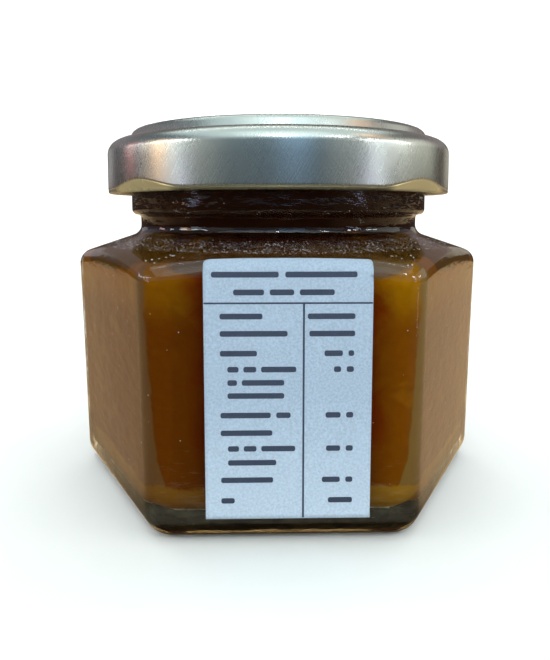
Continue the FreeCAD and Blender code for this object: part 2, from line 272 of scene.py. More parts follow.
def outline(column, distance, rounding):
    """Point of a rounded six-sided outline, for one upright column of the mesh."""
    side, step = divmod(column, FLAT_STEPS + EDGE_STEPS)
    facing = math.radians(-90 + 360 / SIDES * side)
    rounding = max(rounding, 0.2 * MM)
    normal = level(facing)
    if step <= FLAT_STEPS:
        half = (distance - rounding) * math.tan(math.pi / SIDES)
        return normal * distance + normal.orthogonal() * half * (2 * step / FLAT_STEPS - 1)
    corner = facing + math.pi / SIDES
    bearing = facing + 2 * math.pi / SIDES * (step - FLAT_STEPS) / EDGE_STEPS
    return level(corner) * (distance - rounding) / math.cos(math.pi / SIDES) + level(bearing) * rounding


def nearness_to_edge(column):
    """0 in the middle of a face and 1 at the middle of an upright edge."""
    step = column % (FLAT_STEPS + EDGE_STEPS)
    if step <= FLAT_STEPS:
        return abs(2 * step / FLAT_STEPS - 1) * 0.8
    return 1 - 0.2 * abs(2 * (step - FLAT_STEPS) / EDGE_STEPS - 1)


Skin = namedtuple("Skin", "face reference draft slope edge shoulder heel floor throat throat_height")


def skin_column(skin, column):
    """One upright column of a six-sided skin with a sloping shoulder, from its flat floor up to its throat.

    Returns points in space. The outside of the glass, its inside and the jam are such skins.
    """
    def reach(height):
        return skin.face - (skin.reference - height) * math.tan(skin.draft)

    points = []
    for step in range(ARC_STEPS + 1):
        bend = math.pi / 2 * step / ARC_STEPS
        inset, height = skin.heel * (1 - math.sin(bend)), skin.floor + skin.heel * (1 - math.cos(bend))
        points.append(raised(outline(column, reach(height) - inset, skin.edge - inset), height))

    # Where this column's wall would meet the slope.
    fall = math.tan(skin.slope)
    height = skin.throat_height - (skin.face - skin.throat) * fall
    for _ in range(4):
        across = outline(column, reach(height), skin.edge).length
        height = skin.throat_height - (across - skin.throat) * fall
    below = outline(column, reach(height - 5 * MM), skin.edge).length
    arc = fillet(Vector((below, height - 5 * MM)), Vector((across, height)),
                 Vector((across - 5 * MM, height + 5 * MM * fall)), skin.shoulder, ARC_STEPS)

    heel_top = points[-1].z
    for step in range(1, WALL_STEPS):
        height = heel_top + (arc[0].y - heel_top) * step / WALL_STEPS
        points.append(raised(outline(column, reach(height), skin.edge), height))
    bearing = outline(column, reach(arc[0].y), skin.edge).normalized()
    return points + stand(bearing, arc), bearing, arc[-1]


def raise_rings(columns, start_pole=None, end_pole=None):
    """A skin raised ring by ring: a circle is extruded, and each ring set to its columns' next points."""
    bm = bmesh.new()
    mark = bm.verts.layers.int.new("column")
    nearness = bm.verts.layers.float.new("edge_nearness")
    ring = bmesh.ops.create_circle(bm, segments=COLUMNS, radius=1)["verts"]
    for number, vert in enumerate(ring):
        vert[mark], vert[nearness] = number, nearness_to_edge(number)
        vert.co = columns[number][0]
    first = edges = list(bm.edges)
    for row in range(1, len(columns[0])):
        made = bmesh.ops.extrude_edge_only(bm, edges=edges)["geom"]
        verts = {item for item in made if isinstance(item, bmesh.types.BMVert)}
        for vert in verts:
            vert.co = columns[vert[mark]][row]
        edges = [item for item in made if isinstance(item, bmesh.types.BMEdge) and set(item.verts) <= verts]
    for open_edges, pole in ((first, start_pole), (edges, end_pole)):
        if pole is not None:
            made = bmesh.ops.extrude_edge_only(bm, edges=open_edges)["geom"]
            bmesh.ops.pointmerge(bm, verts=[item for item in made if isinstance(item, bmesh.types.BMVert)],
                                 merge_co=pole)
    bmesh.ops.recalc_face_normals(bm, faces=bm.faces)
    return bm


def draw_side(bm, path):
    """Half a side view, drawn as a chain of edges."""
    verts = [bm.verts.new((point.x, 0, point.y)) for point in path]
    for pair in zip(verts, verts[1:]):
        bm.edges.new(pair)
    return verts


def spin_side(bm, steps):
    """Spin the side view that a bmesh holds all the way round."""
    bmesh.ops.spin(bm, geom=list(bm.verts) + list(bm.edges), cent=(0, 0, 0), axis=(0, 0, 1), dvec=(0, 0, 0),
                   angle=2 * math.pi, steps=steps, use_merge=True, use_duplicate=False)


def add_object(name, bm, material, smooth=True):
    """Turn a bmesh into an object in the scene."""
    mesh = bpy.data.meshes.new(name)
    for face in bm.faces:
        face.smooth = smooth
    bm.to_mesh(mesh)
    bm.free()
    thing = bpy.data.objects.new(name, mesh)
    bpy.context.scene.collection.objects.link(thing)
    mesh.materials.append(material)
    return thing


def add_piece(name, bm, material, smooth=True, replaces=None):
    """Turn a bmesh into a piece of the jar that rides on its body."""
    piece = add_object(name, bm, material, smooth)
    if replaces:
        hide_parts(replaces)
    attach(piece, "root")


def surface(name):
    """A piece's surface, to cast rays at."""
    mesh = bpy.data.objects[name].data
    return BVHTree.FromPolygons([vert.co for vert in mesh.vertices],
                                [face.vertices for face in mesh.polygons])


def wave(place, size, depth):
    """A faint inward wave of pressed glass at a place."""
    return depth * (noise.noise(place / size) - 1) / 2


# ---------------------------------------------------------------- material helpers

def scaled(tone, factor):
    """A colour made lighter or darker."""
    return tuple(factor * part for part in tone)


class Nodes:
    """A node tree, drawn a node at a time."""

    def __init__(self, tree):
        self.tree = tree

    def add(self, kind, inputs=None, **settings):
        """A node with its settings, its inputs set to values or linked from sockets."""
        node = self.tree.nodes.new(kind)
        for key, value in settings.items():
            setattr(node, key, value)
        for key, value in (inputs or {}).items():
            self.feed(node.inputs[key], value)
        return node

    def feed(self, socket, value):
        """Link a socket's source, or set its value."""
        if isinstance(value, bpy.types.NodeSocket):
            self.tree.links.new(value, socket)
        elif getattr(socket, "type", "") == "RGBA" and len(value) == 3:
            socket.default_value = (*value, 1)
        else:
            socket.default_value = value

    def place(self):
        """Object coordinates."""
        return self.add("ShaderNodeTexCoord").outputs["Object"]

    def parts(self, source):
        """The X, Y and Z of coordinates."""
        return tuple(self.add("ShaderNodeSeparateXYZ", {"Vector": source}).outputs)

    def stretched(self, source, scale, turned=0.0):
        """Coordinates turned about Z by an angle in degrees, then scaled."""
        if turned:
            rotation = (0, 0, math.radians(turned))
            source = self.add("ShaderNodeMapping", {"Vector": source, "Rotation": rotation}).outputs[0]
        return self.add("ShaderNodeMapping", {"Vector": source, "Scale": scale}).outputs[0]

    def noise(self, source, scale, detail=3.0, roughness=0.5, distortion=0.0):
        """Noise from 0 to 1 at a scale in metres to the power -1."""
        inputs = {"Vector": source, "Scale": scale, "Detail": detail, "Roughness": roughness,
                  "Distortion": distortion}
        return self.add("ShaderNodeTexNoise", inputs).outputs["Fac"]

    def step(self, value, low, high, to_low=0.0, to_high=1.0, smooth=True):
        """A value carried from one range to another, held at its ends."""
        inputs = {"Value": value, "From Min": low, "From Max": high, "To Min": to_low, "To Max": to_high}
        return self.add("ShaderNodeMapRange", inputs, clamp=True,
                        interpolation_type="SMOOTHSTEP" if smooth else "LINEAR").outputs["Result"]

    def math(self, operation, first, second=0.0):
        """One sum."""
        return self.add("ShaderNodeMath", {0: first, 1: second}, operation=operation).outputs[0]

    def plus(self, first, second):
        """Two values added."""
        return self.math("ADD", first, second)

    def times(self, first, second):
        """Two values multiplied."""
        return self.math("MULTIPLY", first, second)

    def filtered(self, tone, factors):
        """A colour with each of its parts multiplied."""
        return self.blend(1.0, tone, factors, "MULTIPLY")

    def banded(self, tone, value, changes):
        """A colour that changes as a value rises: each change has a start, an end and a colour."""
        for low, high, later in changes:
            tone = self.blend(self.step(value, low, high), tone, later)
        return tone

    def blend(self, amount, first, second, mode="MIX"):
        """Two colours mixed."""
        node = self.add("ShaderNodeMix", data_type="RGBA", blend_type=mode)
        self.feed(node.inputs[0], amount)
        self.feed(node.inputs[6], first)
        self.feed(node.inputs[7], second)
        return node.outputs[2]

    def bump(self, height, distance, strength=1.0, normal=None):
        """A bump from a height."""
        inputs = {"Height": height, "Distance": distance, "Strength": strength}
        if normal is not None:
            inputs["Normal"] = normal
        return self.add("ShaderNodeBump", inputs).outputs["Normal"]


class Shade(Nodes):
    """A material's node tree."""

    def __init__(self, name):
        self.material = bpy.data.materials.new(name)
        self.material.use_nodes = True
        super().__init__(self.material.node_tree)

    def finish(self, **inputs):
        """Set the shader's inputs by name, an underscore standing for a space."""
        shader = self.tree.nodes["Principled BSDF"]
        for key, value in inputs.items():
            self.feed(shader.inputs[key.replace("_", " ")], value)
        return self.material


# ---------------------------------------------------------------- glass

def glass_skins(glass):
    """The outside and the inside of the body as skins."""
    outside = Skin(glass.face, glass.shoulder_height, glass.draft, glass.slope, glass.edge, glass.shoulder,
                   glass.heel, 0.0, glass.neck, glass.shoulder_height)
    top = (glass.shoulder_height + (glass.neck - glass.bore) * math.tan(glass.slope)
           - glass.wall / math.cos(glass.slope))
    inside = Skin(glass.face - glass.wall / math.cos(glass.draft), glass.shoulder_height, glass.draft,
                  glass.slope, glass.inner_edge, glass.inner_shoulder, glass.inner_heel, glass.base,
                  glass.bore, top)
    return outside, inside


def glass_material(glass):
    """Clear pressed glass: faint waves, a breath of haze that changes from place to place, and painted shade
    at the foot.
    """
    shade = Shade("jar_glass")
    place = shade.place()
    haze = shade.step(shade.noise(place, 140, 4), 0.35, 0.75, 0.012, 0.035)
    waves = shade.noise(shade.stretched(place, (1, 1, 0.6)), 170, 2)
    across, back, height = shade.parts(place)
    reach = shade.math("SQRT", shade.plus(shade.times(across, across), shade.times(back, back)))
    # Painted shade and painted reflection: the foot is tinted with the jam's colour, and darker still at its
    # very bottom, standing in for the jam reflected in the thick glass and the shaded table seen through it;
    # this reaches higher up at the upright edges beside and behind the label's face.
    heel = shade.times(shade.step(height, 0.0105, 0.0080), shade.step(reach, 0.0308, 0.0318))
    heel = shade.times(heel, shade.step(back, -0.024, -0.018))
    tint = shade.blend(heel, glass.tint, glass.heel_shade)
    tint = shade.banded(tint, height, ((0.0052, 0.0026, glass.foot_shade),
                                       (0.0018, 0.0008, scaled(glass.foot_shade, 0.3))))
    # A dull film of dust lies on the shoulder; the neck is duller and more wavy than the body.
    shoulder = shade.times(shade.step(height, 0.0350, 0.0366), shade.step(height, 0.0402, 0.0394))
    film = shade.times(shoulder, shade.step(shade.noise(place, 700, 4, 0.6), 0.30, 0.70, 0.05, 0.20))
    film = shade.plus(film, shade.step(height, 0.0408, 0.0420, 0.0, 0.09))
    neck = shade.noise(shade.stretched(place, (1, 1, 2.4)), 330, 3)
    neck = shade.times(neck, shade.step(height, 0.0404, 0.0424, 0.25, 1.0))
    return shade.finish(Base_Color=tint, Roughness=shade.plus(haze, film), IOR=1.5, Transmission_Weight=1.0,
                        Normal=shade.bump(neck, 0.0005, 0.5, shade.bump(waves, 0.00012, 0.35)))


class JAR_OT_glass(Operator):
    """Build the glass jar: one closed wall from the foot up over the rim and down the inside"""
    bl_idname = "jam_jar.glass"
    bl_label = "Glass jar"

    def execute(self, context):
        glass = context.scene.jam_jar.glass
        outside, inside = glass_skins(glass)
        land = glass.face - glass.shoulder_height * math.tan(glass.draft) - glass.heel - glass.land
        foot = rounded_path([(land - 9 * MM, glass.hollow, 0, 0), (land - 3.5 * MM, glass.hollow, 4 * MM, 4),
                             (land - 0.2 * MM, 0, 1.5 * MM, 4), (land + 1.0 * MM, 0, 0, 0)])
        columns = []
        for column in range(COLUMNS):
            outer, bearing, outer_end = skin_column(outside, column)
            inner, _, inner_end = skin_column(inside, column)
            crown = rounded_path([
                (*outer_end, 0, 0), (glass.neck, glass.shoulder_height, glass.neck_round, 8),
                (glass.neck, glass.ring_foot, 0.5 * MM, 4), (glass.ring, glass.ring_foot, 0.9 * MM, 6),
                (glass.ring, glass.rim, 0.8 * MM, 5), (glass.bore, glass.rim, 0.8 * MM, 5),
                (glass.bore, inside.throat_height, 1.0 * MM, 5), (*inner_end, 0, 0)])
            columns.append(stand(bearing, foot) + outer + stand(bearing, crown)[1:-1] + inner[::-1])
        bm = raise_rings(columns, Vector((0, 0, glass.hollow)), Vector((0, 0, glass.base)))
        for vert in bm.verts:
            height = vert.co.z
            outward = Vector((vert.co.x, vert.co.y, 0)).normalized()
            calm = min(1, max(0, (glass.ring_foot - height) / (3 * MM)), max(0, height / (4 * MM)))
            vert.co += outward * wave(vert.co, LONG_WAVE, glass.ripple) * calm
            across = vert.co.xy.length
            below = glass.shoulder_height - height
            if 0 < below < 7 * MM and across > glass.neck + 2 * MM:
                vert.co.z += wave(vert.co, SHOULDER_WAVE, glass.ripple * 1.6)
            if glass.ring_foot - 2.5 * MM < height < glass.rim - 2 * MM and across > glass.neck - 0.5 * MM:
                vert.co += outward * wave(vert.co, NECK_WAVE, glass.ripple * 1.4)
        add_piece("jar_glass", bm, glass_material(glass), replaces="glass_jar")
        return {"FINISHED"}


# ---------------------------------------------------------------- jam

def jam_material(jam, label):
    """Set jam with soft fruit: painted light makes it gold by the edges and deep amber between them, and
    painted shade makes it dark behind the label.
    """
    shade = Shade("apricot_jam")
    place = shade.place()
    across, back, up = shade.parts(place)
    edge = shade.add("ShaderNodeAttribute", attribute_name="edge_nearness").outputs["Fac"]
    cloud = shade.noise(place, 160, 4, 0.55, 0.6)
    fine = shade.noise(place, 900, 3, 0.6)
    off_middle = shade.math("ABSOLUTE", across)
    on_front = shade.step(back, -0.0236, -0.0250)

    def ragged(value, amount):
        """A value shifted a little, by an amount that wanders from place to place."""
        return shade.plus(value, shade.step(cloud, 0.3, 0.7, -amount, amount, smooth=False))

    # Deep amber in the middle of a face; painted light makes it gold beside the upright edges and yellower
    # near the shoulder.
    wander = shade.plus(edge, shade.step(cloud, 0.25, 0.75, -0.16, 0.16, smooth=False))
    tone = shade.blend(shade.step(wander, 0.15, 0.80), jam.amber, jam.gold)
    tone = shade.blend(shade.step(up, 0.0275, 0.0325), tone, shade.filtered(tone, (1.5, 2.1, 1.4)))
    # Pieces of fruit hang in it as soft paler shapes.
    fruit = shade.noise(shade.stretched(place, (1, 1, 1.5)), 95, 2, 0.5, 1.2)
    tone = shade.blend(shade.times(shade.step(fruit, 0.60, 0.72), 0.16), tone, jam.pulp)
    tone = shade.blend(shade.step(fine, 0.35, 0.75, 0.0, 0.22), tone, shade.filtered(tone, (0.6, 0.5, 0.5)))

    # Painted shade: behind and beside the label the jam is painted dark, for the label's shadow.
    from_label = shade.math("ABSOLUTE", shade.math("SUBTRACT", across, (label.left + label.right) / 2))
    behind = shade.step(ragged(from_label, 0.0012), 0.0135, 0.0105)
    behind = shade.times(behind, shade.step(back, -0.020, -0.024))
    behind = shade.times(behind, shade.step(up, 0.0100, 0.0135, 0.2, 0.9))
    tone = shade.blend(behind, tone, jam.dark)

    # Painted reflection: the front's rounded glass edges show paler, greyer strips of jam, for the
    # surroundings they reflect; the strips widen towards the foot.
    start = shade.plus(shade.step(up, 0.0065, 0.0105, 0.0148, 0.01585, smooth=False),
                       shade.step(up, 0.0105, 0.0300, 0.0, 0.00095, smooth=False))
    strip = shade.step(shade.math("SUBTRACT", off_middle, ragged(start, 0.00015)), 0.0, 0.00030)
    tone = shade.blend(shade.times(strip, on_front), tone, jam.edge)

    # Under the shoulder and in the neck hardly any light gets in.
    aslant = shade.step(back, -0.0250, -0.0236)
    # Painted reflection: a paler band where the jam rounds over under the shoulder; on the sides it takes a
    # share of the corners' painted gold.
    band = shade.blend(aslant, jam.band, scaled(jam.rim, 0.7))
    # Painted light: gold under the shoulder's corners and on the sides, against the painted shade elsewhere
    # under the shoulder.
    beside = shade.times(aslant, shade.step(off_middle, 0.0135, 0.0170))
    golden = shade.math("MAXIMUM", shade.step(wander, 0.60, 1.30), beside)
    under_shoulder = shade.blend(golden, jam.shade, jam.rim)
    tone = shade.banded(tone, ragged(up, 0.0004), (
        (0.0344, 0.0347, band), (0.0358, 0.0372, under_shoulder), (0.0378, 0.0386, jam.neck)))
    # The rolled foot of the jam catches a little light from the table.
    tone = shade.blend(shade.step(ragged(up, 0.0009), 0.0072, 0.0066, 0.0, 0.9), tone, jam.low)
    # Painted reflection: the jam's underside, seen through the foot, is painted pale with streaks of light in
    # the thick glass base.
    streaks = shade.noise(shade.stretched(place, (1, 1, 6)), 300, 3)
    under = shade.blend(shade.step(streaks, 0.35, 0.7), scaled(jam.underside, 0.4), jam.underside)
    tone = shade.blend(shade.step(up, 0.0040, 0.0035), tone, under)

    # More light comes through on the right of the label.
    right = shade.times(shade.step(across, 0.004, 0.016), shade.step(back, -0.0240, -0.0252))
    tone = shade.blend(right, tone, shade.filtered(tone, (1.48, 1.72, 1.3)))
    return shade.finish(Base_Color=tone, Roughness=shade.step(fine, 0.3, 0.8, 0.45, 0.65),
                        Specular_IOR_Level=0.0, Normal=shade.bump(cloud, 0.0006, 0.25))


def jam_skin(glass, jam):
    """The inside of the glass, grown a little way into the wall."""
    inside = glass_skins(glass)[1]
    wider = ("face", "edge", "heel", "throat", "throat_height")
    grown = {name: getattr(inside, name) + jam.reach for name in wider}
    return inside._replace(floor=inside.floor - jam.reach, **grown)


class JAR_OT_jam(Operator):
    """Fill the jar with jam, up to its level"""
    bl_idname = "jam_jar.jam"
    bl_label = "Jam"

    def execute(self, context):
        settings = context.scene.jam_jar
        glass, jam = settings.glass, settings.jam
        skin = jam_skin(glass, jam)
        columns = []
        for column in range(COLUMNS):
            body, bearing, end = skin_column(skin, column)
            crown = rounded_path([
                (*end, 0, 0), (skin.throat, skin.throat_height, 1.0 * MM, 5),
                (skin.throat, jam.level, 0.6 * MM, 3), (skin.throat - 4 * MM, jam.level, 0, 0)])
            columns.append(body + stand(bearing, crown[1:]))
        bm = raise_rings(columns, Vector((0, 0, skin.floor)), Vector((0, 0, jam.level)))
        for vert in bm.verts:
            outward = Vector((vert.co.x, vert.co.y, 0)).normalized()
            depth = wave(vert.co, LONG_WAVE, glass.ripple) + wave(vert.co, JAM_WAVE, jam.ripple)
            vert.co += outward * depth
        add_piece("apricot_jam", bm, jam_material(jam, settings.label), replaces="jam")
        return {"FINISHED"}


# ---------------------------------------------------------------- lid

def lid_material(lid):
    """Satin lacquered steel with a fine slanting grain, gold where the sheet's lacquered inside rolls out."""
    shade = Shade("lid_steel")
    wrap = shade.add("ShaderNodeUVMap", uv_map="wrap").outputs[0]
    hem = shade.add("ShaderNodeAttribute", attribute_name="hem").outputs["Fac"]
    fibres = [shade.noise(shade.stretched(wrap, (0.3, 4.5, 1), slant), 900, 3, 0.65) for slant in (62, -55)]
    grain = shade.plus(shade.times(fibres[0], 0.6), shade.times(fibres[1], 0.4))
    blotch = shade.noise(shade.place(), 120, 3)
    tone = shade.blend(shade.step(grain, 0.3, 0.7, 0.0, 0.28), lid.metal, scaled(lid.metal, 0.78))
    # Painted shade: between the lugs the rolled edge takes a darker copy of the gold lacquer; at the lugs it
    # is the full gold.
    tone = shade.banded(tone, hem, ((0.2, 0.3, scaled(lid.gold, 0.26)), (0.5, 0.8, lid.gold)))
    scratched = shade.times(shade.step(grain, 0.3, 0.7, -0.03, 0.04), shade.step(hem, 0.1, 0.3, 1.0, 0.0))
    rough = shade.plus(scratched, shade.step(blotch, 0.3, 0.7, lid.roughness - 0.02, lid.roughness + 0.04))
    return shade.finish(Base_Color=tone, Metallic=shade.step(hem, 0.2, 0.3, 1.0, 0.55), Roughness=rough,
                        Normal=shade.bump(grain, 0.00006, shade.step(hem, 0.1, 0.3, 0.24, 0.08)))


def near(across, height, corners):
    """Corners of a path, given in millimetres from one point."""
    return [(across + right * MM, height + up * MM, rounding * MM, steps)
            for right, up, rounding, steps in corners]


def lid_side(lid):
    """Side view of the sheet, from the middle of its top out, down, round the rolled edge and back inside."""
    radius, foot, crest, top = lid.radius, lid.foot, lid.foot + lid.crest, lid.top
    lip = radius - lid.inset
    return rounded_path([
        (0, top, 0, 0), (lip - 1.0 * MM, top, 0.9 * MM, 8),
        *near(lip, crest, ((-0.55, 0.05, 0.15, 3), (-0.3, -0.28, 0.12, 3), (0.1, 0, 0.25, 4))),
        (radius, crest, lid.shoulder, 14),
        *near(radius, foot, [(0, row, 0, 0) for row in (4.6, 3.6, 2.8, 2.2, 1.7, 1.3, 1.0, 0.8)]),
        *near(radius, foot, ((0, 0.62, 0.2, 3), (-0.11, 0.50, 0.1, 2), (-0.02, 0.36, 0.2, 3),
                             (-0.02, 0, 0.30, 6), (-1.6, 0, 0.7, 6), (-1.6, 1.5, 0.6, 5))),
        *near(radius - lid.sheet, foot, ((0, 1.7, 0.2, 3),)),
        *near(radius - lid.sheet, crest, ((0, -1.5, 1.0, 4),)),
        *near(radius, crest, ((-3.2, -0.95, 0.4, 3),)),
        *near(lip, crest, ((-4.2, -0.95, 0.4, 3),)),
        *near(lip, top - lid.sheet, ((-4.6, 0, 0.4, 3),)),
        (0, top - lid.sheet, 0, 0)])


class JAR_OT_lid(Operator):
    """Spin the twist-off lid from its side view, then press in its four lugs"""
    bl_idname = "jam_jar.lid"
    bl_label = "Twist-off lid"

    def execute(self, context):
        lid = context.scene.jam_jar.lid
        radius, foot = lid.radius, lid.foot
        bm = bmesh.new()
        along = bm.verts.layers.float.new("along")
        hem = bm.verts.layers.float.new("hem")
        walked, last = 0.0, None
        for vert in draw_side(bm, lid_side(lid)):
            walked += (vert.co - last.co).length if last else 0
            last = vert
            vert[along] = walked
            rolled = vert.co.x < radius - 0.1 * MM and vert.co.z < foot + 1.6 * MM
            vert[hem] = 0.5 if rolled or vert.co.z < foot + 0.55 * MM else 0.0
        spin_side(bm, lid.spin)
        bmesh.ops.remove_doubles(bm, verts=bm.verts, dist=1e-6)
        bmesh.ops.recalc_face_normals(bm, faces=bm.faces)
        for vert in bm.verts:
            if vert.co.xy.length >= radius - 3 * MM and vert.co.z - foot <= lid.lug_zone:
                vert[hem] *= 1 + min(1, 2 * self.press(vert, lid))
        self.unwrap(bm, along, radius)
        add_piece("twist_lid", bm, lid_material(lid), replaces="lid")
        return {"FINISHED"}

    @staticmethod
    def press(vert, lid):
        """Move a point of the side as its lug bends it, and say how near the lug's middle is, from 0 to 1."""
        flat, height = vert.co.xy, vert.co.z - lid.foot
        gap = math.atan2(flat.y, flat.x) % (2 * math.pi / LUGS) - math.pi / LUGS
        lug = math.cos(math.pi / 2 * min(1, abs(gap) / lid.lug_turn)) ** 2
        # The crease arches up over the lug, and the sheet under it leans in towards the lower edge.
        rise = min(1, max(0, height - 0.10 * MM) / (0.2 * MM), (lid.lug_zone - height) / (3.8 * MM))
        vert.co.z += lid.arch * lug * rise
        crease = 0.45 * MM + lid.arch * lug
        lean = max(0, 1 - (vert.co.z - lid.foot) / crease)
        vert.co -= (flat.normalized() * lid.facet * lug * lean).to_3d()
        return lug

    @staticmethod
    def unwrap(bm, along, radius):
        """Coordinates for the grain: the way round the lid, and the way along its side view."""
        wrap = bm.loops.layers.uv.new("wrap")
        for face in bm.faces:
            centre = face.calc_center_median()
            heading = math.atan2(centre.y, centre.x)
            for loop in face.loops:
                bearing = math.atan2(loop.vert.co.y, loop.vert.co.x)
                if loop.vert.co.xy.length < 0.1 * MM:
                    bearing = heading
                bearing += 2 * math.pi * round((heading - bearing) / (2 * math.pi))
                loop[wrap].uv = (bearing * radius, loop.vert[along])


# ---------------------------------------------------------------- label

# The print, in mm: its two ruling lines, and rows of plain bars from the top down.
HEADER_RULE, HEADER_RULE_THICK = 31.55, 0.22     # height over the table and thickness of the level line
COLUMN_RULE, COLUMN_RULE_THICK = 2.52, 0.24      # place across and thickness of the upright line
RULE_MARGIN = 0.05                               # from the level line's ends to the paper's edges
BAR_THICK = 0.72
PAPER_COLUMNS, PAPER_ROWS = 42, 84               # mesh of the paper
PAPER_GAP, INK_LIFT = 0.01 * MM, 0.012 * MM      # from the glass to the paper, and from the paper to the ink
# Each row is a height over the table, and its bars as (left, right).
PRINT_ROWS = (
    (35.10, ((-8.9, -0.6), (0.2, 9.1))),
    (32.90, ((-6.2, -2.4), (-1.7, 1.3), (2.0, 6.3))),
    (29.90, ((-7.9, -2.6), (3.0, 8.9))),
    (27.72, ((-7.9, 0.5), (3.2, 8.9))),
    (25.22, ((-7.9, -3.3), (5.1, 7.4), (8.1, 8.8))),
    (23.18, ((-7.0, -5.6), (-5.0, -3.4), (-2.8, 1.6), (6.3, 7.2), (7.9, 8.8))),
    (21.48, ((-7.0, -5.8), (-5.2, 0.1))),
    (19.80, ((-7.0, 0.1),)),
    (17.28, ((-7.9, -1.6), (-0.9, 0.9), (5.3, 7.2), (7.9, 8.8))),
    (14.98, ((-7.9, -1.4),)),
    (12.92, ((-7.0, -5.6), (-5.0, -3.4), (-2.8, 1.5), (5.4, 7.2), (7.9, 8.8))),
    (11.08, ((-7.0, -0.9),)),
    (8.78, ((-7.9, -1.3), (4.9, 7.2), (7.9, 8.8))),
    (6.04, ((-7.9, -6.2), (5.7, 8.8))),
)


def paper_material(label):
    """Uncoated white paper with a fine tooth, painted darker towards the top."""
    shade = Shade("label_paper")
    place = shade.place()
    tooth = shade.noise(place, 3400, 2, 0.7)
    cloud = shade.noise(place, 420, 3)
    tone = shade.blend(shade.step(tooth, 0.25, 0.75), scaled(label.paper, 0.76), label.paper)
    tone = shade.blend(shade.step(cloud, 0.4, 0.8, 0.0, 0.25), tone, scaled(label.paper, 0.90))
    # Painted shade: it is painted darker towards the top, where less light comes up from the table.
    upwards = shade.step(shade.parts(place)[2], 0.003, 0.020, smooth=False)
    tone = shade.blend(upwards, tone, shade.filtered(tone, (0.71, 0.74, 0.78)))
    return shade.finish(Base_Color=tone, Roughness=shade.step(tooth, 0.2, 0.8, 0.55, 0.75),
                        Normal=shade.bump(tooth, 0.00004, 0.35))


def ink_material(label):
    """Flat printing ink, a little broken by the paper's tooth."""
    shade = Shade("label_ink")
    tooth = shade.noise(shade.place(), 4200, 2, 0.7)
    tone = shade.blend(shade.step(tooth, 0.55, 0.85, 0.0, 0.5), label.ink, scaled(label.ink, 3.0))
    return shade.finish(Base_Color=tone, Roughness=0.6)


class GlassFront:
    """The front of the glass, felt for by rays, so that the label follows it."""

    def __init__(self, glass):
        self.tree = surface("jar_glass")
        self.bend = glass.shoulder_height - 4.6 * MM     # below this the face is plain
        self.inside = glass.face - 3.0 * MM

    def touch(self, across, height):
        """A point on the face: level rays below the bend, rays fanned round the shoulder above it."""
        if height <= self.bend:
            start, heading = Vector((across, -1, height)), Vector((0, 1, 0))
        else:
            lean = (height - self.bend) / (3.0 * MM)
            heading = Vector((0, math.cos(lean), -math.sin(lean)))
            start = Vector((across, -self.inside, self.bend)) - heading * 0.05
        return self.tree.ray_cast(start, heading)[0]

    def sheet(self, across, foot, reaches):
        """Points up one line of the label, at the given distances along the glass from its foot."""
        walk = [self.touch(across, foot)]
        travelled = [0.0]
        height = foot
        while travelled[-1] < reaches[-1]:
            height += 0.25 * MM if height > self.bend - MM else 2 * MM
            walk.append(self.touch(across, height))
            travelled.append(travelled[-1] + (walk[-1] - walk[-2]).length)
        points, place = [], 0
        for reach in reaches:
            while travelled[place + 1] < reach:
                place += 1
            share_along = (reach - travelled[place]) / (travelled[place + 1] - travelled[place])
            points.append(walk[place].lerp(walk[place + 1], share_along))
        return points


